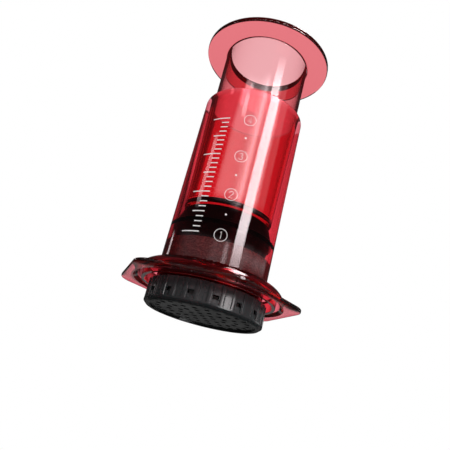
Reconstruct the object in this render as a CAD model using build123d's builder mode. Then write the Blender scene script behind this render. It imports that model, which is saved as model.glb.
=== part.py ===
from build123d import *
from math import acos, degrees
import os

# Piston coffee press, in millimetres: a clear chamber with a hexagonal flange, a hollow plunger
# with a rubber seal, and a twist-on cap that holds a paper filter under the ground coffee.
# It stands upright on the cap. The origin is in the middle of the cap's lowest ring, +Z runs up
# the common axis, and two flats of the flange face -Y and +Y.
# A radius ends in _r, a height above the ground in _z. Everything else is a size of its own.

# Chamber tube
bore_r = 29.6
chamber_wall = 1.9
chamber_len = 120.5      # from the underside of the flange to the rim
lead_in_w = 0.9          # cone inside the rim that guides the seal in
lead_in_h = 3.6
rim_round = 0.45

# Hexagonal flange and the hollow dome that joins it to the tube
plate_flat_r = 48.2      # middle to flat
plate_corner_round = 14.0
plate_t = 2.0
plate_edge_round = 0.6
dome_w = 12.0
dome_h = 8.9
dome_wall = 2.0
flare_w = 2.4            # bevel round the mouth of the dome's hollow
flare_h = 1.6
rib_wall = 2.0           # ring wall that divides the hollow
rib_shadow_w = 2.9       # from the cap's side out to that ring wall

# Skirt below the flange, with the bayonet lugs that carry the cap
skirt_wall = 1.4
lug_reach = 1.35
lug_w = 4.9
lug_h = 1.9
lug_rise = 1.75          # from the skirt's lower edge up to the lugs

# Filter cap
cap_h = 13.2
cap_wall = 1.1           # behind the ribs
cap_rib_depth = 0.5
cap_rib_w = 2.25
cap_band_h = 2.4         # plain band below the ribs
cap_bevel_w = 1.6
cap_bevel_h = 1.4
cap_foot_h = 1.0         # ring that holds the floor off the table
cap_foot_w = 2.2
cap_floor_t = 2.2
cap_lug_w = 3.8
cap_lug_h = 1.8
window_w = 3.4
window_h = 2.3
channel_w = 1.4          # drain channel that runs down from one side of each window
channel_depth = 0.5
hole_r = 1.5
hole_pitch = 6.5

# Paper filter and the pressed coffee on it
paper_t = 0.2
coffee_h = 34.0

# Seal
seal_h = 21.0
seal_face_r = 26.2       # flat face that meets the coffee
seal_side_r = 27.9       # below the lip
seal_neck_r = 25.4       # top of the cone
seal_lip_h = 2.6
seal_lip_z_share = 0.41  # of the seal's height, where the lip starts
seal_cone_w = 1.1        # step from the lip's edge in to the cone
seal_edge_round = 1.6
seal_top_round = 0.8

# Plunger
plunger_len = 120.2      # from the closed end to the top
plunger_wall = 1.8
plunger_low_r = 26.4
plunger_top_r = 27.6
plunger_floor_t = 2.6
plunger_end_round = 1.5
plunger_rim_r = 41.3
plunger_rim_t = 3.4
plunger_rim_round = 1.1
mouth_round = 0.7
root_round = 1.2         # under the rim, where it meets the tube
boss_r = 21.0            # button that the seal is pulled over
boss_h = 8.5
boss_catch = 3.5         # from the button's edge in to the neck
boss_cover = 8.0         # rubber under the button
neck_show = 1.2          # bare neck between the seal and the tube

# Fits
seal_gap = 0.08          # lip to bore
coffee_gap = 0.05
paper_gap = 0.7          # paper to the cap's wall
seat_gap = 0.05          # paper to the chamber's skirt
press_gap = 0.1          # coffee to the seal
lug_gap = 0.25           # bayonet, sideways
lock_gap = 0.1           # bayonet, one lug above the other
flange_gap = 0.2         # cap to flange
boss_gap = 0.05          # seal to the plunger's button
overrun = 1.0            # by how far a cut passes the face it opens

# Counts and angles
lug_count = 16
rib_count = 2 * lug_count
lug_pitch = 360 / lug_count
first_lug = -90          # a lug and a window face -Y
hole_rings = 4
holes_in_first_ring = 6
plate_sides = 6

# Radii that follow
chamber_r = bore_r + chamber_wall
skirt_r = bore_r + skirt_wall
lug_r = skirt_r + lug_reach
cap_bore_r = lug_r + lug_gap
cap_recess_r = cap_bore_r + cap_wall
cap_r = cap_recess_r + cap_rib_depth
cap_lug_r = skirt_r + lug_gap
paper_r = cap_bore_r - paper_gap
dome_in_w = dome_w - dome_wall
dome_in_h = dome_h - dome_wall
dome_foot_r = chamber_r + dome_w
dome_in_r = chamber_r + dome_in_w
rib_in_r = cap_r + rib_shadow_w
rib_out_r = rib_in_r + rib_wall
seal_lip_r = bore_r - seal_gap
neck_r = boss_r - boss_catch

# Heights that follow
cap_floor_z = cap_foot_h
paper_z = cap_floor_z + cap_floor_t
coffee_z = paper_z + paper_t
skirt_z = coffee_z + seat_gap
lug_z = skirt_z + lug_rise
cap_lug_z = lug_z + lug_h + lock_gap
window_z = cap_lug_z - window_h
plate_z = cap_h + flange_gap
plate_top_z = plate_z + plate_t
rim_z = plate_z + chamber_len
seal_z = coffee_z + coffee_h + press_gap
seal_lip_z = seal_z + seal_lip_z_share * seal_h
seal_cone_z = seal_lip_z + seal_lip_h
seal_top_z = seal_z + seal_h
boss_z = seal_z + boss_cover
boss_top_z = boss_z + boss_h
tube_z = seal_top_z + neck_show
tube_floor_z = tube_z + plunger_floor_t
plunger_top_z = tube_z + plunger_len
plunger_rim_z = plunger_top_z - plunger_rim_t


def closed_outline(*corners):
    """Half section of a turned piece. Each corner is a radius, a height and its rounding."""
    points = [(radius, height) for radius, height, rounding in corners]
    roundings = [rounding for radius, height, rounding in corners]
    FilletPolyline(*points, radius=roundings, close=True)


def dome_angle(radius):
    """Angle round the hollow's curve at which it is at the given radius."""
    return degrees(acos((radius - chamber_r) / dome_in_w))


# Chamber
with BuildPart() as chamber:
    # flange plate
    with BuildSketch(Plane.XY.offset(plate_z)):
        RegularPolygon(plate_flat_r, plate_sides, major_radius=False)
        fillet(vertices(), plate_corner_round)
    extrude(amount=plate_t)
    fillet(faces().filter_by(Axis.Z).edges(), plate_edge_round)

    # tube, dome and skirt in one turned section, filled in under the dome
    with BuildSketch(Plane.XZ):
        with BuildLine():
            crown = EllipticalCenterArc((chamber_r, plate_top_z), dome_w, dome_h)
            FilletPolyline(
                crown @ 1,
                (chamber_r, rim_z),
                (bore_r + lead_in_w, rim_z),
                (bore_r, rim_z - lead_in_h),
                (bore_r, skirt_z),
                (skirt_r, skirt_z),
                (skirt_r, plate_z),
                (dome_foot_r, plate_z),
                crown @ 0,
                radius=[rim_round, rim_round / 2, 0, 0, 0, 0, 0],
            )
        make_face()
    revolve(axis=Axis.Z)

    # bore through the plate
    with BuildSketch(Plane.XY.offset(plate_z)):
        Circle(bore_r)
    extrude(amount=plate_t, mode=Mode.SUBTRACT)

    # the dome's hollow, left open below, in two rings with the ring wall between them
    with BuildSketch(Plane.XZ):
        with BuildLine():
            start_angle = dome_angle(rib_in_r)
            roof = EllipticalCenterArc(
                (chamber_r, plate_top_z), dome_in_w, dome_in_h, start_angle, arc_size=90 - start_angle
            )
            Polyline(
                roof @ 1,
                (skirt_r, plate_top_z + dome_in_h),
                (skirt_r, plate_z - overrun),
                (rib_in_r, plate_z - overrun),
                roof @ 0,
            )
        make_face()
        with BuildLine():
            roof = EllipticalCenterArc(
                (chamber_r, plate_top_z), dome_in_w, dome_in_h, 0, arc_size=dome_angle(rib_out_r)
            )
            Polyline(
                roof @ 1,
                (rib_out_r, plate_z - overrun),
                (dome_in_r + flare_w, plate_z - overrun),
                (dome_in_r + flare_w, plate_z),
                (dome_in_r, plate_z + flare_h),
                roof @ 0,
            )
        make_face()
    revolve(axis=Axis.Z, mode=Mode.SUBTRACT)

    # bayonet lugs
    with BuildSketch(Plane.XY.offset(lug_z)):
        with PolarLocations(skirt_r, lug_count, start_angle=first_lug):
            Rectangle(3 * lug_reach, lug_w)
        Circle(lug_r, mode=Mode.INTERSECT)
        Circle(bore_r + skirt_wall / 2, mode=Mode.SUBTRACT)
    extrude(amount=lug_h)

# Filter cap
with BuildPart() as filter_cap:
    # cup with a bevelled foot
    with BuildSketch(Plane.XZ):
        with BuildLine():
            closed_outline(
                (0, cap_floor_z, 0),
                (cap_r - cap_bevel_w - cap_foot_w, cap_floor_z, 0),
                (cap_r - cap_bevel_w - cap_foot_w, 0, 0),
                (cap_r - cap_bevel_w, 0, 0),
                (cap_r, cap_bevel_h, 0),
                (cap_r, cap_band_h, 0),
                (cap_recess_r, cap_band_h, 0),
                (cap_recess_r, cap_h, 0),
                (cap_bore_r, cap_h, 0),
                (cap_bore_r, paper_z, 0),
                (0, paper_z, 0),
            )
        make_face()
    revolve(axis=Axis.Z)

    # upright ribs all round the outside, two to each window
    with BuildSketch(Plane.XY.offset(cap_band_h)):
        with PolarLocations(cap_recess_r, rib_count, start_angle=first_lug + lug_pitch / 4):
            Rectangle(3 * cap_rib_depth, cap_rib_w)
        Circle(cap_r, mode=Mode.INTERSECT)
        Circle(cap_recess_r - cap_wall / 4, mode=Mode.SUBTRACT)
    extrude(amount=cap_h - cap_band_h)

    # inner lugs, which hook over the chamber's
    with BuildSketch(Plane.XY.offset(cap_lug_z)):
        with PolarLocations(cap_bore_r, lug_count, start_angle=first_lug):
            Rectangle(4 * lug_reach, cap_lug_w)
        Circle(cap_bore_r + cap_wall / 2, mode=Mode.INTERSECT)
        Circle(cap_lug_r, mode=Mode.SUBTRACT)
    extrude(amount=cap_lug_h)

    # windows under the inner lugs
    with BuildSketch(Plane.XY.offset(window_z)):
        with PolarLocations(cap_recess_r, lug_count, start_angle=first_lug):
            Rectangle(4 * cap_wall, window_w)
    extrude(amount=window_h, mode=Mode.SUBTRACT)

    # drain channels from the windows down to the plain band
    with BuildSketch(Plane.XY.offset(cap_band_h)):
        with PolarLocations(cap_recess_r, lug_count, start_angle=first_lug):
            with Locations((0, (window_w - channel_w) / 2)):
                Rectangle(2 * channel_depth, channel_w)
    extrude(amount=window_z - cap_band_h, mode=Mode.SUBTRACT)

    # holes in the floor, one in the middle and the rest in rings
    with BuildSketch(Plane.XY.offset(cap_floor_z)):
        Circle(hole_r)
        for ring in range(1, hole_rings + 1):
            with PolarLocations(ring * hole_pitch, ring * holes_in_first_ring, start_angle=first_lug):
                Circle(hole_r)
    extrude(amount=cap_floor_t, mode=Mode.SUBTRACT)

# Paper filter
with BuildPart() as paper_filter:
    with BuildSketch(Plane.XY.offset(paper_z)):
        Circle(paper_r)
    extrude(amount=paper_t)

# Pressed coffee
with BuildPart() as coffee_puck:
    with BuildSketch(Plane.XY.offset(skirt_z)):
        Circle(bore_r - coffee_gap)
    extrude(amount=seal_z - press_gap - skirt_z)

# Plunger
with BuildPart() as plunger:
    with BuildSketch(Plane.XZ):
        with BuildLine():
            closed_outline(
                (0, boss_z, 0),
                (boss_r, boss_z, 0),
                (boss_r, boss_top_z, 0),
                (neck_r, boss_top_z, 0),
                (neck_r, tube_z, 0),
                (plunger_low_r, tube_z, plunger_end_round),
                (plunger_top_r, plunger_rim_z, root_round),
                (plunger_rim_r, plunger_rim_z, plunger_rim_round),
                (plunger_rim_r, plunger_top_z, plunger_rim_round),
                (plunger_top_r - plunger_wall, plunger_top_z, mouth_round),
                (plunger_low_r - plunger_wall, tube_floor_z, plunger_end_round),
                (0, tube_floor_z, 0),
            )
        make_face()
    revolve(axis=Axis.Z)

# Seal
with BuildPart() as seal:
    with BuildSketch(Plane.XZ):
        with BuildLine():
            closed_outline(
                (0, seal_z, 0),
                (seal_face_r, seal_z, seal_edge_round),
                (seal_side_r, seal_lip_z - seal_cone_w, 0),
                (seal_lip_r, seal_lip_z, 0),
                (seal_lip_r, seal_cone_z, 0),
                (seal_lip_r - seal_cone_w, seal_cone_z + seal_cone_w, 0),
                (seal_neck_r, seal_top_z, seal_top_round),
                (neck_r + boss_gap, seal_top_z, 0),
                (neck_r + boss_gap, boss_top_z + boss_gap, 0),
                (boss_r + boss_gap, boss_top_z + boss_gap, 0),
                (boss_r + boss_gap, boss_z - boss_gap, 0),
                (0, boss_z - boss_gap, 0),
            )
        make_face()
    revolve(axis=Axis.Z)

chamber.part.label = "chamber"
filter_cap.part.label = "filter_cap"
paper_filter.part.label = "paper_filter"
coffee_puck.part.label = "coffee_puck"
plunger.part.label = "plunger"
seal.part.label = "seal"

os.makedirs("parts", exist_ok=True)
export_step(chamber.part, "parts/chamber.step")
export_step(filter_cap.part, "parts/filter_cap.step")
export_step(paper_filter.part, "parts/paper_filter.step")
export_step(coffee_puck.part, "parts/coffee_puck.step")
export_step(plunger.part, "parts/plunger.step")
export_step(seal.part, "parts/seal.step")
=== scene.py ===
from math import acos, cos, degrees, pi, radians, sin, sqrt, tan

import bmesh
import bpy
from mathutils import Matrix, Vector


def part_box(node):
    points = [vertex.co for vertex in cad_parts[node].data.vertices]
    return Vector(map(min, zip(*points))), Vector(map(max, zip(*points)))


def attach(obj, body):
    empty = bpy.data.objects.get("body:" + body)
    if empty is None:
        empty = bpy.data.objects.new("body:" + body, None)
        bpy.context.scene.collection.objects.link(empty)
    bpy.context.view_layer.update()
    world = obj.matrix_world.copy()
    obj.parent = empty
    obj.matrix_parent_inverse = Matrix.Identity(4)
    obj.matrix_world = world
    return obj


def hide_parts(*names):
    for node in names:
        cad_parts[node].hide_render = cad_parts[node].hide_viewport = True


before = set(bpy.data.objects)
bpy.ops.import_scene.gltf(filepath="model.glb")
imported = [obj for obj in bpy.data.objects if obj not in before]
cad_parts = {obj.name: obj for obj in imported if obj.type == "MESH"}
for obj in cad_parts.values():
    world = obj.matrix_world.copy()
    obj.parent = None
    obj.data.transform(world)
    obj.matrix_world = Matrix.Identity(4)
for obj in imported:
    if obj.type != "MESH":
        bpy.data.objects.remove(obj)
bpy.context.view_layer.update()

# Lengths are in millimetres and become metres where a mesh is made.
MM = 0.001
AROUND = 480             # points round a turned piece, a multiple of 6 and of 32
WELD = 1e-6              # metres
CREASE = 32              # degrees past which an edge is crisp

# Chamber
bore_r, chamber_r, skirt_r = 29.6, 31.5, 31.0
lead_in_w, lead_in_h = 0.9, 3.6
rim_round = 0.45
plate_flat_r, plate_corner_round = 48.2, 14.0
plate_t, plate_edge_round = 2.0, 0.6
dome_w, dome_h, dome_wall = 12.0, 8.9, 2.0
flare_w, flare_h = 2.4, 1.6
ring_wall_in_r, ring_wall_out_r = 37.1, 39.1
lug_reach, lug_w, lug_h, lug_up = 1.35, 4.9, 1.9, 1.75
lug_count = 16
first_lug = -90.0        # degrees

# Seal and coffee
seal_face_r, seal_side_r, seal_neck_r = 26.2, 27.9, 25.4
seal_lip_up, seal_lip_h, seal_cone_w = 8.61, 2.6, 1.1
seal_edge_round, seal_top_round = 1.6, 0.8
wall_bite = 0.02         # how far what is pressed to a wall sinks into it
coffee_dark_z, coffee_pale_z = 16, 30    # between these the coffee turns paler

# Filter cap
cap_h, cap_wall, cap_rib_depth, cap_rib_w = 13.2, 1.1, 0.5, 2.25
cap_band_h, cap_bevel_w, cap_bevel_h = 2.4, 1.6, 1.4
cap_foot_w, cap_floor_t, cap_floor_z = 2.2, 2.2, 1.0
plate_inset = 0.5        # from the foot ring to the edge of the floor with its holes
cap_lug_w, cap_lug_h = 3.8, 1.8
window_w, window_h = 3.4, 2.3
channel_w, channel_depth = 1.4, 0.5
hole_r, hole_bevel, hole_pitch, hole_count = 1.5, 0.2, 6.5, 61
lug_gap, lock_gap = 0.25, 0.1

# Plunger
tube_low_r, tube_top_r, tube_wall = 26.4, 27.6, 1.8
tube_up, tube_floor_t, tube_end_round = 1.2, 2.6, 1.5
grip_r, grip_t, grip_round = 41.3, 3.4, 1.1
mouth_round, root_round = 0.7, 1.2
button_r, button_h, button_neck_r = 21.0, 8.5, 17.5

# Heights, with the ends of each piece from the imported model
rim_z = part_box("chamber")[1].z / MM
skirt_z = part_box("chamber")[0].z / MM
seal_z, seal_top_z = (corner.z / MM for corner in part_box("seal"))
button_z, grip_top_z = (corner.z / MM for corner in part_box("plunger"))
coffee_top_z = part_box("coffee_puck")[1].z / MM
plate_z = 13.4
plate_top_z = plate_z + plate_t
lug_z = skirt_z + lug_up
cap_lug_z = lug_z + lug_h + lock_gap
window_z, window_top_z = cap_lug_z - window_h, cap_lug_z
paper_z = cap_floor_z + cap_floor_t
lip_z = seal_z + seal_lip_up
tube_z = seal_top_z + tube_up

# Cap radii that follow from the chamber's skirt
cap_bore_r = skirt_r + lug_reach + lug_gap
cap_recess_r = cap_bore_r + cap_wall
cap_r = cap_recess_r + cap_rib_depth
cap_lug_r = skirt_r + lug_gap
cap_foot_r = cap_r - cap_bevel_w - cap_foot_w
plate_r = cap_foot_r - plate_inset


# Meshes
def rounded(corners):
    """Points of an open outline. Each corner is a radius, a height and its rounding."""
    band = 0.2
    steps = 6
    points = []
    for index, (radius, height, rounding) in enumerate(corners):
        here = Vector((radius, height))
        if rounding == 0:
            points.append(here)
            continue
        before = Vector(corners[index - 1][:2]) - here
        after = Vector(corners[index + 1][:2]) - here
        back, ahead = before.normalized(), after.normalized()
        half = back.angle(ahead) / 2
        start = here + back * rounding / tan(half)
        end = here + ahead * rounding / tan(half)
        middle = here + (back + ahead).normalized() * rounding / sin(half)
        if before.length > 4 * band + rounding / tan(half):
            points.append(start + back * band)
        for step in range(steps + 1):
            spoke = (start - middle).slerp(end - middle, step / steps)
            points.append(middle + spoke.normalized() * rounding)
        if after.length > 4 * band + rounding / tan(half):
            points.append(end + ahead * band)
    return [(point.x, point.y) for point in points]


def oval(centre, width, height, first, last, steps=20):
    """Points along a quarter of an oval, by its angle in degrees."""
    angles = [radians(first + (last - first) * step / steps) for step in range(steps + 1)]
    return [(centre[0] + width * cos(angle), centre[1] + height * sin(angle)) for angle in angles]


def turned(value, angle):
    """A size that may change round the piece, at an angle."""
    return value(angle) if callable(value) else value


def ring(form, radius, height, angles):
    """Corners at the given angles, in radians. A ring with no radius is one point."""
    if radius == 0:
        return [form.verts.new((0, 0, height * MM))]
    corners = []
    for angle in angles:
        reach, level = turned(radius, angle) * MM, turned(height, angle) * MM
        corners.append(form.verts.new((reach * cos(angle), reach * sin(angle), level)))
    return corners


def skin(rings, closed=False):
    """A mesh over rings round the axis, each of a radius and a height."""
    form = bmesh.new()
    angles = [2 * pi * step / AROUND for step in range(AROUND)]
    loops = [ring(form, radius, height, angles) for radius, height in rings]
    pairs = list(zip(loops, loops[1:]))
    if closed:
        pairs.append((loops[-1], loops[0]))
    for low, high in pairs:
        for step in range(AROUND):
            after = (step + 1) % AROUND
            corners = [low[step % len(low)], low[after % len(low)],
                       high[after % len(high)], high[step % len(high)]]
            form.faces.new(list(dict.fromkeys(corners)))
    return finished(form)


def finished(form):
    """The form as a clean mesh, with its faces outwards and its edges crisp."""
    bmesh.ops.remove_doubles(form, verts=form.verts, dist=WELD)
    bmesh.ops.dissolve_degenerate(form, edges=form.edges, dist=WELD)
    bmesh.ops.recalc_face_normals(form, faces=form.faces)
    mesh = bpy.data.meshes.new("finished")
    form.to_mesh(mesh)
    form.free()
    mesh.shade_smooth()
    mesh.set_sharp_from_angle(angle=radians(CREASE))
    return mesh


def place(name, mesh, body, slot, material, *nodes):
    """Puts a finished mesh in the scene, on its body, in its finish and in place of CAD nodes."""
    mesh.name = name
    piece = bpy.data.objects.new(name, mesh)
    bpy.context.scene.collection.objects.link(piece)
    mesh.materials.clear()
    mesh.materials.append(material)
    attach(piece, body)
    if nodes:
        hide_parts(*nodes)
    return piece


# Node trees
class Wiring:
    """Adds nodes to a tree and links them."""

    def __init__(self, tree):
        self.tree = tree

    def feed(self, socket, value):
        if isinstance(value, bpy.types.NodeSocket):
            self.tree.links.new(value, socket)
        else:
            socket.default_value = value

    def node(self, kind, inputs=None, **settings):
        node = self.tree.nodes.new(kind)
        for setting, value in settings.items():
            setattr(node, setting, value)
        for socket, value in (inputs or {}).items():
            self.feed(node.inputs[socket], value)
        return node

    def out(self, kind, inputs=None, **settings):
        """The first output of a new node."""
        return self.node(kind, inputs, **settings).outputs[0]

    def math(self, operation, *values, clamp=False):
        inputs = dict(enumerate(values))
        return self.out("ShaderNodeMath", inputs, operation=operation, use_clamp=clamp)

    def blend(self, value, low, high, to_low=0.0, to_high=1.0):
        """The value from low to high, brought smoothly to another span."""
        inputs = {"Value": value, "From Min": low, "From Max": high,
                  "To Min": to_low, "To Max": to_high}
        return self.out("ShaderNodeMapRange", inputs, interpolation_type="SMOOTHSTEP")

    def vector(self, **parts):
        return self.out("ShaderNodeCombineXYZ", parts)

    def parts(self, vector):
        """The X, Y and Z of a vector."""
        return self.node("ShaderNodeSeparateXYZ", {0: vector}).outputs


class Growth(Wiring):
    """A Geometry Nodes tree with named sizes, and the mesh that it grows."""

    def __init__(self, name, **sizes):
        super().__init__(bpy.data.node_groups.new(name, "GeometryNodeTree"))
        face = self.tree.interface
        face.new_socket("Geometry", in_out="INPUT", socket_type="NodeSocketGeometry")
        face.new_socket("Geometry", in_out="OUTPUT", socket_type="NodeSocketGeometry")
        self.values = {}
        for label, value in sizes.items():
            kind = {int: "Int", float: "Float"}.get(type(value), "Material")
            socket = face.new_socket(label, in_out="INPUT", socket_type="NodeSocket" + kind)
            self.values[socket.identifier] = value
        self.given = self.tree.nodes.new("NodeGroupInput").outputs
        self.result = self.tree.nodes.new("NodeGroupOutput")
        self.index = self.out("GeometryNodeInputIndex")
        self.position = self.parts(self.out("GeometryNodeInputPosition"))

    def join(self, *pieces):
        joined = self.tree.nodes.new("GeometryNodeJoinGeometry")
        for piece in pieces:
            self.tree.links.new(piece, joined.inputs[0])
        return joined.outputs[0]

    def raised(self, piece, height):
        inputs = {"Geometry": piece, "Translation": self.vector(Z=height)}
        return self.out("GeometryNodeTransform", inputs)

    def merged(self, piece):
        return self.out("GeometryNodeMergeByDistance", {"Geometry": piece, "Distance": WELD})

    def circle(self, radius, corners):
        inputs = {"Resolution": corners, "Radius": radius}
        return self.out("GeometryNodeCurvePrimitiveCircle", inputs)

    def around(self, reach, angle, height=0.0):
        """A point at a distance from the axis, an angle round it and a height."""
        return self.vector(X=self.math("MULTIPLY", reach, self.math("COSINE", angle)),
                           Y=self.math("MULTIPLY", reach, self.math("SINE", angle)), Z=height)

    def scattered(self, count, place_at, piece, **inputs):
        """Copies of a piece at points, by a field for their places."""
        points = self.out("GeometryNodePoints", {"Count": count, "Position": place_at})
        copies = self.out("GeometryNodeInstanceOnPoints",
                          {"Points": points, "Instance": piece, **inputs})
        return self.out("GeometryNodeRealizeInstances", {0: copies})

    def grow(self, piece, mesh):
        """Ends the tree, runs it on a mesh and gives back what it made."""
        real = self.out("GeometryNodeRealizeInstances", {0: piece})
        coated = self.out("GeometryNodeSetMaterial", {0: real, "Material": self.given["material"]})
        self.feed(self.result.inputs[0], coated)
        seed = bpy.data.objects.new(self.tree.name, mesh)
        bpy.context.scene.collection.objects.link(seed)
        modifier = seed.modifiers.new(self.tree.name, "NODES")
        modifier.node_group = self.tree
        for identifier, value in self.values.items():
            modifier[identifier] = value
        graph = bpy.context.evaluated_depsgraph_get()
        grown = bpy.data.meshes.new_from_object(seed.evaluated_get(graph))
        seed.modifiers.remove(modifier)
        bpy.data.objects.remove(seed)
        form = bmesh.new()
        form.from_mesh(grown)
        return finished(form)


# Finishes
class Finish(Wiring):
    """A material, its shader and the patterns in it."""

    def __init__(self, name):
        self.material = bpy.data.materials.new(name)
        self.material.use_nodes = True
        super().__init__(self.material.node_tree)
        self.shader = self.tree.nodes["Principled BSDF"]
        self.output = self.tree.nodes["Material Output"]
        self.place = self.node("ShaderNodeTexCoord").outputs["Object"]

    def give(self, **values):
        """Sets the shader's sockets, or feeds them from nodes."""
        for label, value in values.items():
            self.feed(self.shader.inputs[label.replace("_", " ")], value)

    def grain(self, scale, detail=2.0, stretch=(1, 1, 1), roughness=0.5):
        """A cloudy pattern. Scale is in patches a metre."""
        place_at = self.out("ShaderNodeMapping", {"Vector": self.place, "Scale": stretch})
        inputs = {"Vector": place_at, "Scale": scale, "Detail": detail, "Roughness": roughness}
        return self.out("ShaderNodeTexNoise", inputs)

    def colours(self, factor, first, second, blend_type="MIX"):
        """A mix of two colours, each a red, green and blue or a node's output."""
        mix = self.node("ShaderNodeMix", data_type="RGBA", blend_type=blend_type)
        for socket, value in ((0, factor), (6, first), (7, second)):
            self.feed(mix.inputs[socket], (*value, 1) if isinstance(value, tuple) else value)
        return mix.outputs[2]

    def relief(self, *layers):
        """Bumps from patterns, each with its full height in metres."""
        normal = None
        for height, pattern in layers:
            inputs = {"Height": pattern, "Distance": height, "Strength": 1.0}
            if normal:
                inputs["Normal"] = normal
            normal = self.out("ShaderNodeBump", inputs)
        self.give(Normal=normal)


def clear_red_plastic(name, tint_colour, density):
    """Polished clear plastic: red by depth, with the slow waves of moulding and faint scuffs."""
    finish = Finish(name)
    scuffs = finish.grain(420, 3.0, (1, 1, 0.25), 0.6)
    finish.give(Base_Color=(1.0, 0.95, 0.955, 1), IOR=1.5, Transmission_Weight=1.0,
                Roughness=finish.blend(scuffs, 0.62, 0.8, 0.0, 0.07))
    finish.relief((1.2e-5, finish.grain(70, 1.0, (1, 1, 0.4))))
    tint = {"Color": (*tint_colour, 1), "Density": density}
    finish.feed(finish.output.inputs["Volume"], finish.out("ShaderNodeVolumeAbsorption", tint))
    return finish.material


def black_rubber():
    """Satin black rubber, a little cloudy, with a fine dusty skin."""
    finish = Finish("seal_rubber")
    patches = finish.grain(160, 4.0)
    dark, pale = (0.0015, 0.0013, 0.0015), (0.004, 0.0035, 0.004)
    finish.give(Base_Color=finish.colours(patches, dark, pale), Specular_IOR_Level=0.03,
                Roughness=finish.blend(patches, 0.3, 0.7, 0.38, 0.55))
    finish.relief((1.5e-5, finish.grain(2600)))
    return finish.material


def black_plastic():
    """Moulded black plastic with a fine spark-eroded grain, rubbed paler on its edges."""
    finish = Finish("cap_plastic")
    patches = finish.grain(120, 3.0)
    edge = finish.blend(finish.node("ShaderNodeNewGeometry").outputs["Pointiness"], 0.52, 0.6)
    moulded = finish.colours(patches, (0.020, 0.025, 0.027), (0.031, 0.038, 0.040))
    rubbed = (0.05, 0.053, 0.056)
    matt = finish.blend(patches, 0.3, 0.7, 0.2, 0.3)
    finish.give(Base_Color=finish.colours(finish.math("MULTIPLY", edge, 0.6), moulded, rubbed),
                Roughness=finish.math("SUBTRACT", matt, finish.math("MULTIPLY", edge, 0.05)))
    finish.relief((0.7e-5, finish.grain(3000, 3.0, roughness=0.65)))
    return finish.material


def pressed_coffee():
    """Grounds of several sizes. At the wall they are paler and greyer, partly from fines pressed
    there and partly from a painted veil of reflected light. Towards the foot they are darker.
    """
    finish = Finish("coffee_grounds")
    crumbs = finish.node("ShaderNodeTexVoronoi", {"Vector": finish.place, "Scale": 1500}).outputs
    shades = finish.out("ShaderNodeSeparateColor", {0: crumbs["Color"]})
    patches = finish.grain(700, 5.0, (1, 1, 2.2), 0.7)
    part = finish.parts(finish.place)
    squares = [finish.math("POWER", part[axis], 2.0) for axis in "XY"]
    reach = finish.math("SQRT", finish.math("ADD", *squares))
    at_wall = finish.blend(reach, (bore_r - 0.5) * MM, (bore_r - 0.1) * MM)
    inner = finish.colours(shades, (0.045, 0.024, 0.016), (0.12, 0.07, 0.048))
    # paler greenish grey at the wall: partly pressed fines, partly a painted reflection of light
    # off the wall, which keeps the grounds from reading red through the plastic
    outer_with_painted_veil = finish.colours(finish.blend(patches, 0.36, 0.64), (0.1, 0.13, 0.1), (0.24, 0.27, 0.2))
    # the grounds are darker towards the foot, down to a tenth of their colour at the bottom
    foot_darkening = finish.blend(part["Z"], coffee_dark_z * MM, coffee_pale_z * MM, 0.1, 1.0)
    speck = finish.math("MULTIPLY", finish.blend(shades, 0.0, 1.0, 0.64, 1.14), foot_darkening)
    bed = finish.colours(at_wall, inner, outer_with_painted_veil)
    finish.give(Base_Color=finish.colours(1.0, bed, speck, "MULTIPLY"),
                Roughness=finish.blend(shades, 0.0, 1.0, 0.4, 0.75))
    finish.relief((1.8e-4, crumbs["Distance"]), (1.2e-4, patches))
    return finish.material


def filter_sheet():
    """Unglazed paper: crossed fibres and a cloudy coffee stain."""
    finish = Finish("filter_paper")
    stain = finish.blend(finish.grain(70, 4.0, roughness=0.6), 0.35, 0.75)
    finish.give(Base_Color=finish.colours(stain, (0.8, 0.74, 0.63), (0.5, 0.34, 0.22)),
                Roughness=0.92, Specular_IOR_Level=0.2)
    finish.relief((4e-5, finish.grain(2200, 4.0, (1, 0.25, 1), 0.7)),
                  (4e-5, finish.grain(2000, 4.0, (0.25, 1, 1), 0.7)))
    return finish.material


def white_ink():
    """Screen-printed ink: opaque and a little uneven."""
    finish = Finish("white_ink")
    film = finish.grain(900, 3.0)
    finish.give(Base_Color=finish.colours(film, (0.86, 0.85, 0.85), (0.93, 0.93, 0.93)),
                Roughness=finish.blend(film, 0.3, 0.7, 0.35, 0.5))
    finish.relief((6e-6, film))
    return finish.material


chamber_plastic = clear_red_plastic("chamber_plastic", (0.982, 0.02, 0.17), 640)
plunger_plastic = clear_red_plastic("plunger_plastic", (0.915, 0.05, 0.13), 400)
rubber = black_rubber()
cap_black = black_plastic()
coffee = pressed_coffee()
paper = filter_sheet()
ink = white_ink()


# Chamber
def flange_edge(inset):
    """Radius by angle of the flange's rounded hexagon, drawn in by the inset."""
    flat = plate_flat_r - inset
    rounding = plate_corner_round - inset
    corner_out = (plate_flat_r - plate_corner_round) / cos(pi / 6)

    def radius(angle):
        turn = (angle + pi / 2 + pi / 6) % (pi / 3) - pi / 6
        off_corner = pi / 6 - abs(turn)
        if flat * tan(abs(turn)) <= (plate_flat_r - plate_corner_round) * tan(pi / 6):
            return flat / cos(turn)
        across = corner_out * sin(off_corner)
        return corner_out * cos(off_corner) + sqrt(rounding**2 - across**2)

    return radius


def lug_edge(angle):
    """Radius by angle of the skirt with its bayonet lugs."""
    pitch = 2 * pi / lug_count
    turn = (angle - radians(first_lug) + pitch / 2) % pitch - pitch / 2
    if abs(turn) * skirt_r > lug_w / 2:
        return skirt_r
    return skirt_r + lug_reach


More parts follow.
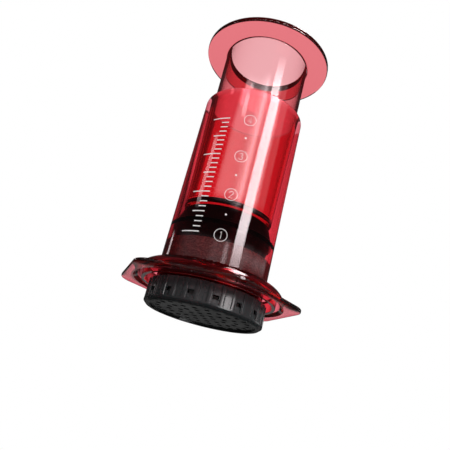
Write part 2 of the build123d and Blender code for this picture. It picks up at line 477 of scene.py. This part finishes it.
def chamber_rings():
    """Up the bore, down the outside, round the flange, through its hollow dome to the skirt."""
    dome_middle = (chamber_r, plate_top_z)
    dome_in_w, dome_in_h = dome_w - dome_wall, dome_h - dome_wall
    roof_start = degrees(acos((ring_wall_out_r - chamber_r) / dome_in_w))
    roof_end = degrees(acos((ring_wall_in_r - chamber_r) / dome_in_w))
    rings = rounded([
        (bore_r, skirt_z, 0),
        (bore_r, rim_z - lead_in_h, 0),
        (bore_r + lead_in_w, rim_z, rim_round / 2),
        (chamber_r, rim_z, rim_round),
        (chamber_r, plate_top_z + dome_h, 0),
    ])
    rings += oval(dome_middle, dome_w, dome_h, 90, 0)[1:]
    bends = [radians(15 * step) for step in range(7)]
    rings += [(flange_edge(plate_edge_round * (1 - sin(bend))),
               plate_top_z - plate_edge_round * (1 - cos(bend))) for bend in bends]
    rings += [(flange_edge(plate_edge_round * (1 - cos(bend))),
               plate_z + plate_edge_round * (1 - sin(bend))) for bend in bends]
    dome_in_r = chamber_r + dome_in_w
    rings += [(dome_in_r + flare_w, plate_z), (dome_in_r, plate_z + flare_h)]
    rings += oval(dome_middle, dome_in_w, dome_in_h, 0, roof_start, 12)
    rings += [(ring_wall_out_r, plate_z), (ring_wall_in_r, plate_z)]
    rings += oval(dome_middle, dome_in_w, dome_in_h, roof_end, 90, 8)
    rings += [(skirt_r, plate_top_z + dome_in_h), (skirt_r, lug_z + lug_h)]
    rings += [(lug_edge, lug_z + lug_h), (lug_edge, lug_z), (skirt_r, lug_z), (skirt_r, skirt_z)]
    return rings


place("chamber_clear", skin(chamber_rings(), closed=True), "chamber", "chamber_plastic",
      chamber_plastic, "chamber")

# Plunger
plunger_outline = rounded([
    (0, button_z, 0),
    (button_r, button_z, 0),
    (button_r, button_z + button_h, 0),
    (button_neck_r, button_z + button_h, 0),
    (button_neck_r, tube_z, 0),
    (tube_low_r, tube_z, tube_end_round),
    (tube_top_r, grip_top_z - grip_t, root_round),
    (grip_r, grip_top_z - grip_t, grip_round),
    (grip_r, grip_top_z, grip_round),
    (tube_top_r - tube_wall, grip_top_z, mouth_round),
    (tube_low_r - tube_wall, tube_z + tube_floor_t, tube_end_round),
    (0, tube_z + tube_floor_t, 0),
])
place("plunger_clear", skin(plunger_outline), "plunger", "plunger_plastic", plunger_plastic,
      "plunger")

# Seal
lip_r = bore_r + wall_bite
socket_r, socket_neck_r = button_r + wall_bite, button_neck_r + wall_bite
socket_z, socket_top_z = button_z - wall_bite, button_z + button_h + wall_bite
seal_outline = rounded([
    (0, seal_z, 0),
    (seal_face_r, seal_z, seal_edge_round),
    (seal_side_r, lip_z - seal_cone_w, 0),
    (lip_r, lip_z, 0),
    (lip_r, lip_z + seal_lip_h, 0),
    (lip_r - seal_cone_w, lip_z + seal_lip_h + seal_cone_w, 0),
    (seal_neck_r, seal_top_z, seal_top_round),
    (socket_neck_r, seal_top_z, 0),
    (socket_neck_r, socket_top_z, 0),
    (socket_r, socket_top_z, 0),
    (socket_r, socket_z, 0),
    (0, socket_z, 0),
])
place("rubber_seal", skin(seal_outline), "plunger", "seal_rubber", rubber, "seal")

# Coffee
coffee_outline = [
    (0, skirt_z),
    (bore_r + wall_bite, skirt_z),
    (bore_r + wall_bite, coffee_top_z),
    (0, coffee_top_z),
]
place("pressed_coffee", skin(coffee_outline), "chamber", "coffee", coffee, "coffee_puck")


# Filter cap
def between(knots, value):
    """A size that runs straight from knot to knot, each a place and a size."""
    if value <= knots[0][0]:
        return knots[0][1]
    for (start, low), (end, high) in zip(knots, knots[1:]):
        if value <= end:
            return low + (high - low) * (value - start) / (end - start)
    return knots[-1][1]


def cap_bay():
    """One sixteenth of the cap's wall and foot, in degrees either side of its window."""
    soft = 0.2
    half = 180 / lug_count
    rib_near = half / 2 - degrees(cap_rib_w / 2 / cap_r)
    rib_far = half / 2 + degrees(cap_rib_w / 2 / cap_r)
    window = degrees(window_w / 2 / cap_recess_r)
    channel = window - degrees(channel_w / cap_recess_r)
    lug = degrees(cap_lug_w / 2 / cap_bore_r)

    # how deep the wall is cut, by its place: a soft slope beside each rib, a groove by the window
    slope = [(-1.6 + 0.4 * step, 0.5 + 0.5 * cos(pi * step / 8)) for step in range(9)]
    recess = [(rib_near + share * soft, depth) for share, depth in slope]
    recess += [(rib_far - share * soft, depth) for share, depth in reversed(slope)]
    groove = [(channel, 0), (channel + soft, 1), (window - soft, 1), (window, 0)]
    hook = [(lug - soft, 1), (lug, 0)]

    lines = [line for line, depth in recess] + [window, lug - soft, lug, half]
    lines += [(rib_near + rib_far) / 2, (rib_far + half) / 2]
    lines += [-line for line in lines]
    lines += [0, channel / 2, (channel + window) / 2, -window / 2]
    lines += [window - soft, channel, channel + soft]
    lines = sorted(set(lines))
    angles = [radians(line) for line in lines]

    def wall(inset, grooved):
        def radius(angle):
            side = degrees(angle)
            depth = cap_rib_depth * between(recess, abs(side))
            return cap_r - inset - depth - grooved * channel_depth * between(groove, side)
        return radius

    def inner(angle):
        return cap_bore_r - (cap_bore_r - cap_lug_r) * between(hook, abs(degrees(angle)))

    edge = 0.15
    outside = [
        (plate_r, cap_floor_z), (cap_foot_r, cap_floor_z),
        (cap_foot_r, edge), (cap_foot_r + edge, 0),
        (cap_r - cap_bevel_w - edge, 0), (cap_r - cap_bevel_w + edge / 2, edge / 2),
        (cap_r - edge / 2, cap_bevel_h - edge / 2), (cap_r, cap_bevel_h + edge),
        (cap_r, cap_band_h - edge / 2), (wall(0, 1), cap_band_h + edge / 2),
        (wall(0, 1), window_z), (wall(0, 0), window_top_z),
        (wall(0, 0), cap_h - 2 * edge), (wall(edge / 2, 0), cap_h - edge / 2),
        (wall(2 * edge, 0), cap_h),
    ]
    inside = [
        (cap_bore_r + edge, cap_h), (cap_bore_r, cap_h - edge),
        (cap_bore_r, cap_lug_z + cap_lug_h), (inner, cap_lug_z + cap_lug_h), (inner, cap_lug_z),
        (cap_bore_r, window_top_z), (cap_bore_r, window_z),
        (cap_bore_r, paper_z), (plate_r, paper_z),
    ]
    form = bmesh.new()
    rows = [ring(form, radius, height, angles) for radius, height in outside + inside]
    heights = [height for radius, height in outside + inside]
    sill = heights.index(window_z)
    sill_in = heights.index(window_z, len(outside))
    head, head_in = sill + 1, sill_in - 1
    steps = range(len(lines) - 1)
    opening = [step for step in steps if -window <= lines[step] and lines[step + 1] <= window]
    for index, (low, high) in enumerate(zip(rows, rows[1:])):
        for step in steps:
            if step not in opening or index not in (sill, head_in):
                form.faces.new([low[step], low[step + 1], high[step + 1], high[step]])
    for out, back in ((rows[sill], rows[sill_in]), (rows[head], rows[head_in])):
        for step in opening:
            form.faces.new([out[step], out[step + 1], back[step + 1], back[step]])
    for step in (opening[0], opening[-1] + 1):
        form.faces.new([rows[row][step] for row in (sill, head, head_in, sill_in)])
    mesh = bpy.data.meshes.new("cap_bay")
    form.to_mesh(mesh)
    form.free()
    return mesh


def whole_cap():
    """The bays set round the axis, and the floor filled in with its bevelled holes."""
    tree = Growth("whole_cap", bays=lug_count, first=radians(first_lug), hole_r=hole_r * MM,
                  hole_pitch=hole_pitch * MM, holes=hole_count, bevel=hole_bevel * MM,
                  floor_low=cap_floor_z * MM, floor_top=paper_z * MM, material=cap_black)
    given, math, index = tree.given, tree.math, tree.index

    turn = math("MULTIPLY", index, math("DIVIDE", 2 * pi, given["bays"]))
    turned_by = tree.vector(Z=math("ADD", given["first"], turn))
    bays = tree.scattered(given["bays"], (0, 0, 0), given["Geometry"], Rotation=turned_by)
    wall = tree.merged(bays)

    # hole 0 is in the middle and ring n holds 6n
    share = math("SQRT", math("MAXIMUM", math("SUBTRACT", math("MULTIPLY", index, 12.0), 3.0), 0.0))
    at_ring = math("FLOOR", math("DIVIDE", math("ADD", share, 3.001), 6.0))
    at_ring = math("MULTIPLY", at_ring, math("GREATER_THAN", index, 0.5))
    held_inside = math("MULTIPLY", math("MULTIPLY", at_ring, math("SUBTRACT", at_ring, 1.0)), 3.0)
    in_ring = math("SUBTRACT", index, math("ADD", held_inside, 1.0))
    step = math("DIVIDE", 2 * pi, math("MAXIMUM", math("MULTIPLY", at_ring, 6.0), 1.0))
    angle = math("ADD", given["first"], math("MULTIPLY", in_ring, step))
    spots = tree.around(math("MULTIPLY", at_ring, given["hole_pitch"]), angle)

    corners = 20
    narrow, wide = given["hole_r"], math("ADD", given["hole_r"], given["bevel"])
    mouths = tree.scattered(given["holes"], spots, tree.circle(wide, corners))
    single = math("LESS_THAN", tree.out("GeometryNodeInputMeshEdgeNeighbors"), 1.5)
    middle = math("MULTIPLY", math("ADD", given["floor_low"], given["floor_top"]), 0.5)
    plates = []
    for side, level in (("LESS_THAN", given["floor_low"]), ("GREATER_THAN", given["floor_top"])):
        chosen = math("MULTIPLY", single, math(side, tree.position["Z"], middle))
        loop = tree.out("GeometryNodeMeshToCurve", {"Mesh": wall, "Selection": chosen})
        plate = tree.out("GeometryNodeFillCurve", {0: tree.join(loop, mouths)})
        plates.append(tree.raised(plate, level))

    thick = math("SUBTRACT", given["floor_top"], given["floor_low"])
    straight = math("SUBTRACT", thick, math("MULTIPLY", given["bevel"], 2.0))
    level, stages = given["floor_low"], []
    for low_r, top_r, depth in ((wide, narrow, given["bevel"]), (narrow, narrow, straight),
                                (narrow, wide, given["bevel"])):
        inputs = {"Vertices": corners, "Radius Top": top_r, "Radius Bottom": low_r, "Depth": depth}
        cone = tree.out("GeometryNodeMeshCone", inputs, fill_type="NONE")
        stages.append(tree.raised(cone, level))
        level = math("ADD", level, depth)
    tubes = tree.scattered(given["holes"], spots, tree.join(*stages))
    return tree.grow(tree.merged(tree.join(wall, tubes, *plates)), cap_bay())


place("filter_cap_moulded", whole_cap(), "filter_cap", "cap_plastic", cap_black, "filter_cap")

# Paper
paper_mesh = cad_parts["paper_filter"].data
paper_mesh.materials.clear()
paper_mesh.materials.append(paper)

# Scale printed on the chamber. Each digit is a pen's path across and up, in digit heights.
DIGITS = (
    ((-0.14, 0.34), (0.06, 0.5), (0.06, -0.5)),
    ((-0.27, 0.22), (-0.25, 0.34), (-0.17, 0.45), (-0.04, 0.5), (0.09, 0.49), (0.2, 0.43),
     (0.26, 0.31), (0.26, 0.18), (0.2, 0.06), (0.1, -0.06), (-0.28, -0.5), (0.3, -0.5)),
    ((-0.27, 0.3), (-0.21, 0.42), (-0.09, 0.49), (0.05, 0.49), (0.17, 0.43), (0.23, 0.31),
     (0.21, 0.17), (0.12, 0.07), (-0.04, 0.03), (0.14, -0.01), (0.25, -0.11), (0.28, -0.25),
     (0.23, -0.39), (0.11, -0.48), (-0.04, -0.5), (-0.18, -0.46), (-0.27, -0.36), (-0.3, -0.26)),
    ((0.12, -0.5), (0.12, 0.5), (-0.3, -0.22), (0.3, -0.22)),
)
digit_h = 3.9
number_z, number_pitch = 39.5, 24.18
ink_gap = 0.01           # keeps the film of ink just off the wall


def digit_lines():
    """The middle lines of the digits, one above the other at their heights."""
    points, lines = [], []
    for number, stroke in enumerate(DIGITS):
        for step, (across, up) in enumerate(stroke):
            if step:
                lines.append((len(points) - 1, len(points)))
            level = number_z + number * number_pitch + up * digit_h
            points.append((across * digit_h * MM, level * MM, 0))
    mesh = bpy.data.meshes.new("digit_lines")
    mesh.from_pydata(points, lines, [])
    return mesh


def scale_print():
    """Ringed numbers, dots between them and a ladder of ticks, laid flat and then wrapped round."""
    tree = Growth("scale_print", tube_r=(chamber_r + ink_gap) * MM, middle=radians(-77.3),
                  number_z=number_z * MM, number_pitch=number_pitch * MM, ring_r=3.5 * MM,
                  line_w=0.27 * MM, dot_r=0.55 * MM, tick_x=-12.2 * MM, tick_long=11.4 * MM,
                  tick_w=0.62 * MM, film=0.04 * MM, numbers=len(DIGITS), ticks_between=8,
                  material=ink)
    given, math, index = tree.given, tree.math, tree.index
    gaps = math("SUBTRACT", given["numbers"], 1)

    up = math("ADD", given["number_z"], math("MULTIPLY", index, given["number_pitch"]))
    halfway = math("ADD", up, math("MULTIPLY", given["number_pitch"], 0.5))
    rings = tree.scattered(given["numbers"], tree.vector(Y=up), tree.circle(given["ring_r"], 72))
    digits = tree.out("GeometryNodeMeshToCurve", {0: given["Geometry"]})
    upright = tree.out("GeometryNodeSetCurveNormal", {0: tree.join(rings, digits)}, mode="Z_UP")
    half = math("MULTIPLY", given["line_w"], 0.5)
    ends = {"Start": tree.vector(X=math("MULTIPLY", half, -1.0)), "End": tree.vector(X=half)}
    nib = tree.out("GeometryNodeCurvePrimitiveLine", ends)
    lines = tree.out("GeometryNodeCurveToMesh", {"Curve": upright, "Profile Curve": nib})
    dots = tree.scattered(gaps, tree.vector(Y=halfway), tree.circle(given["dot_r"], 24))
    dots = tree.out("GeometryNodeFillCurve", {0: dots})

    # a tick is longest level with a number and next longest halfway between two
    tick = tree.out("GeometryNodeMeshGrid",
                    {"Size X": 1.0, "Size Y": 1.0, "Vertices X": 13, "Vertices Y": 2})
    tick_count = math("ADD", math("MULTIPLY", gaps, given["ticks_between"]), 1)
    step = math("DIVIDE", given["number_pitch"], given["ticks_between"])
    turn = math("MODULO", index, given["ticks_between"])
    at_number = math("MULTIPLY", math("LESS_THAN", turn, 0.5), 0.6)
    at_half = math("COMPARE", turn, math("MULTIPLY", given["ticks_between"], 0.5), 0.1)
    share = math("ADD", 0.4, math("ADD", at_number, math("MULTIPLY", at_half, 0.28)))
    length = math("MULTIPLY", given["tick_long"], share)
    left = math("SUBTRACT", given["tick_x"], math("MULTIPLY", length, 0.5))
    rung = math("ADD", given["number_z"], math("MULTIPLY", index, step))
    size = tree.vector(X=length, Y=given["tick_w"], Z=1.0)
    ticks = tree.scattered(tick_count, tree.vector(X=left, Y=rung), tick, Scale=size)

    flat = tree.join(lines, dots, ticks)
    front = tree.out("GeometryNodeExtrudeMesh", {
        "Mesh": flat, "Offset": tree.vector(Z=given["film"]), "Offset Scale": 1.0,
        "Individual": False})
    layer = tree.merged(tree.join(front, tree.out("GeometryNodeFlipFaces", {0: flat})))
    at = tree.position
    angle = math("ADD", given["middle"], math("DIVIDE", at["X"], given["tube_r"]))
    wrapped = tree.around(math("ADD", given["tube_r"], at["Z"]), angle, at["Y"])
    curved = tree.out("GeometryNodeSetPosition", {"Geometry": layer, "Position": wrapped})
    return tree.grow(curved, digit_lines())


place("scale_print", scale_print(), "chamber", "chamber_plastic", ink)

# Floor: it takes the object's shadow, and is clear from below and in reflections
half_floor = 3.0
corners = [(-half_floor, -half_floor, 0), (half_floor, -half_floor, 0),
           (half_floor, half_floor, 0), (-half_floor, half_floor, 0)]
floor_mesh = bpy.data.meshes.new("floor")
floor_mesh.from_pydata(corners, [], [(0, 1, 2, 3)])
floor = bpy.data.objects.new("floor", floor_mesh)
bpy.context.scene.collection.objects.link(floor)
pale = Finish("pale_floor")
pale.give(Base_Color=(0.9, 0.9, 0.9, 1), Roughness=0.8)
below = pale.node("ShaderNodeNewGeometry").outputs["Backfacing"]
reflected = pale.node("ShaderNodeLightPath").outputs["Glossy Depth"]
pale.feed(pale.output.inputs["Surface"], pale.out("ShaderNodeMixShader", {
    0: pale.math("ADD", below, reflected, clamp=True),
    1: pale.shader.outputs[0],
    2: pale.out("ShaderNodeBsdfTransparent")}))
floor_mesh.materials.append(pale.material)

# Camera, below the object and in front of it
camera_data = bpy.data.cameras.new("camera")
camera_data.sensor_width = 36
camera_data.lens = 40.156
camera_data.clip_start = 0.01
camera = bpy.data.objects.new("camera", camera_data)
bpy.context.scene.collection.objects.link(camera)
camera.location = (0.0733161, -0.2736195, -0.0467712)
camera.rotation_euler = [radians(angle) for angle in (110.75373, -13.58084, 9.98740)]
bpy.context.scene.camera = camera

# Studio. The room is white as it is seen directly and through clear plastic, and plainly lit from
# the right and above for matt faces. Polished faces mirror a dark room with light cards in it,
# and so do the inner faces of the plastic, with fewer and weaker cards.
world = bpy.data.worlds.new("studio")
bpy.context.scene.world = world
world.use_nodes = True
studio = Wiring(world.node_tree)
toward = studio.node("ShaderNodeTexCoord").outputs["Generated"]
path = studio.node("ShaderNodeLightPath").outputs
height = studio.math("ARCSINE", studio.parts(toward)["Z"])


def card(level, azimuth, half_width, low, high, blur=1.0, side_blur=None, lean=0.0):
    """Light of one card by direction, in degrees, with azimuth from +X and lean by height."""
    side_blur = blur if side_blur is None else side_blur
    ahead = studio.out("ShaderNodeVectorRotate",
                       {"Vector": toward, "Angle": radians(-azimuth)}, rotation_type="Z_AXIS")
    part = studio.parts(ahead)
    across = studio.math("ARCTAN2", part["Y"], part["X"])
    if lean:
        rise = studio.math("SUBTRACT", height, radians((low + high) / 2))
        across = studio.math("SUBTRACT", across, studio.math("MULTIPLY", rise, lean))
    across = studio.math("ABSOLUTE", across)
    shares = (
        studio.blend(across, radians(half_width + side_blur), radians(half_width - side_blur)),
        studio.blend(height, radians(low - blur), radians(low + blur)),
        studio.blend(height, radians(high + blur), radians(high - blur)),
    )
    for share in shares:
        level = studio.math("MULTIPLY", share, level)
    return level


def total(first, *others):
    for other in others:
        first = studio.math("ADD", first, other)
    return first


def rest_of(share):
    """What a share leaves of 1."""
    return studio.math("SUBTRACT", 1.0, share, clamp=True)


def either(choice, first, second):
    """The first where the choice is 0 and the second where it is 1."""
    return studio.out("ShaderNodeMix", {"Factor": choice, 2: first, 3: second})


mirrored = total(
    0.03,
    # the long bright strip
    card(7.0, -37.3, 10.4, -14, 36.5, blur=2.5, side_blur=0.5, lean=0.12),
    card(10.0, -37.3, 10.4, 18, 36.5, blur=2.5, side_blur=0.5, lean=0.12),
    card(3.0, -37.3, 10.4, 18.2, 23.5, blur=2.0, side_blur=0.5, lean=0.12),
    # the walls of chamber and plunger mirror these
    card(3.3, -72, 43, 23.3, 35.3, blur=0.8, side_blur=7),
    card(3.4, -65, 8, 22.8, 35.8, side_blur=8),
    card(4.2, -60.5, 4, 22.8, 35.8, side_blur=4),
    card(4.6, -25, 5, 22.8, 35.8, side_blur=5),
    card(4.2, -148, 4.5, 21.8, 29.5, blur=0.8, side_blur=1.5),
    card(0.85, -13, 13, 22.8, 36, blur=0.8, side_blur=3),
    card(5.0, -98.8, 5.0, 32.5, 35.0, blur=0.3),
    # the chamber's wall round the coffee mirrors these
    card(0.75, -55, 37, 13, 18.3, blur=0.6, side_blur=8),
    card(3.6, -62, 4, 13, 18.3, blur=0.6, side_blur=4),
    card(4.2, 162, 3, 12, 17.6, blur=0.6, side_blur=3),
    card(0.4, -120, 40, 13, 18.3, blur=0.6, side_blur=20),
    card(1.5, -14, 12, 16.2, 17.9, side_blur=6),
    card(1.5, 11, 12, 16.0, 17.5, side_blur=6),
    card(1.0, 36, 12, 15.8, 17.3, side_blur=6),
    # the cap's ribs, the undersides of cap and flange, and the dome's shoulder mirror these
    card(0.2, -60, 90, -24, 13, blur=0.6, side_blur=30),
    card(1.3, 48, 9, -8, 9, blur=2.0, side_blur=4),
    card(0.2, 105, 30, -15, -10, blur=1.5, side_blur=8),
    card(15.0, 24, 45, 64, 76, blur=2.0, side_blur=5),
)
guided = total(
    0.08,
    card(0.95, 65, 14, 12, 27, blur=2.0, side_blur=5),
    card(0.35, 139, 9, 12, 24, blur=2.0, side_blur=4),
    card(0.4, -41, 20, 12, 48, blur=6.0),
    card(0.8, -5, 65, -12, 10, blur=3.0, side_blur=10),
)
matt = total(
    0.18,
    card(1.5, -30, 60, -20, 70, blur=15, side_blur=40),
    card(0.6, 0, 181, 50, 91, blur=15),
)
# two dark strips stand behind the object, and give the clear walls their dark edges
beyond = rest_of(total(
    card(0.8, 127.5, 6, 12, 34, blur=1.5),
    card(0.75, 118, 6, 9.5, 16.7, blur=0.8),
))
seen = studio.math("MAXIMUM", path["Is Camera Ray"], path["Is Transmission Ray"])
seen = studio.math("MULTIPLY", seen, rest_of(path["Diffuse Depth"]))
unbounced = rest_of(path["Glossy Depth"])
bounced_light = either(path["Is Transmission Ray"], mirrored, guided)
straight_light = either(seen, matt, either(path["Is Camera Ray"], beyond, 1.0))

# what polished faces mirror is faintly pink above the cap's own light
blush = studio.blend(height, radians(12), radians(14))
blush = studio.math("MULTIPLY", blush, rest_of(unbounced))
tone = {0: 1.0, 1: rest_of(studio.math("MULTIPLY", blush, 0.14)),
        2: rest_of(studio.math("MULTIPLY", blush, 0.12))}
background = world.node_tree.nodes["Background"]
studio.feed(background.inputs["Color"], studio.out("ShaderNodeCombineColor", tone))
studio.feed(background.inputs["Strength"], either(unbounced, bounced_light, straight_light))

bpy.context.scene.view_settings.view_transform = "Standard"
# light goes a long way inside the flange, which turns black with fewer bounces
bpy.context.scene.cycles.max_bounces = 24
bpy.context.scene.cycles.glossy_bounces = 16
bpy.context.scene.cycles.transmission_bounces = 24
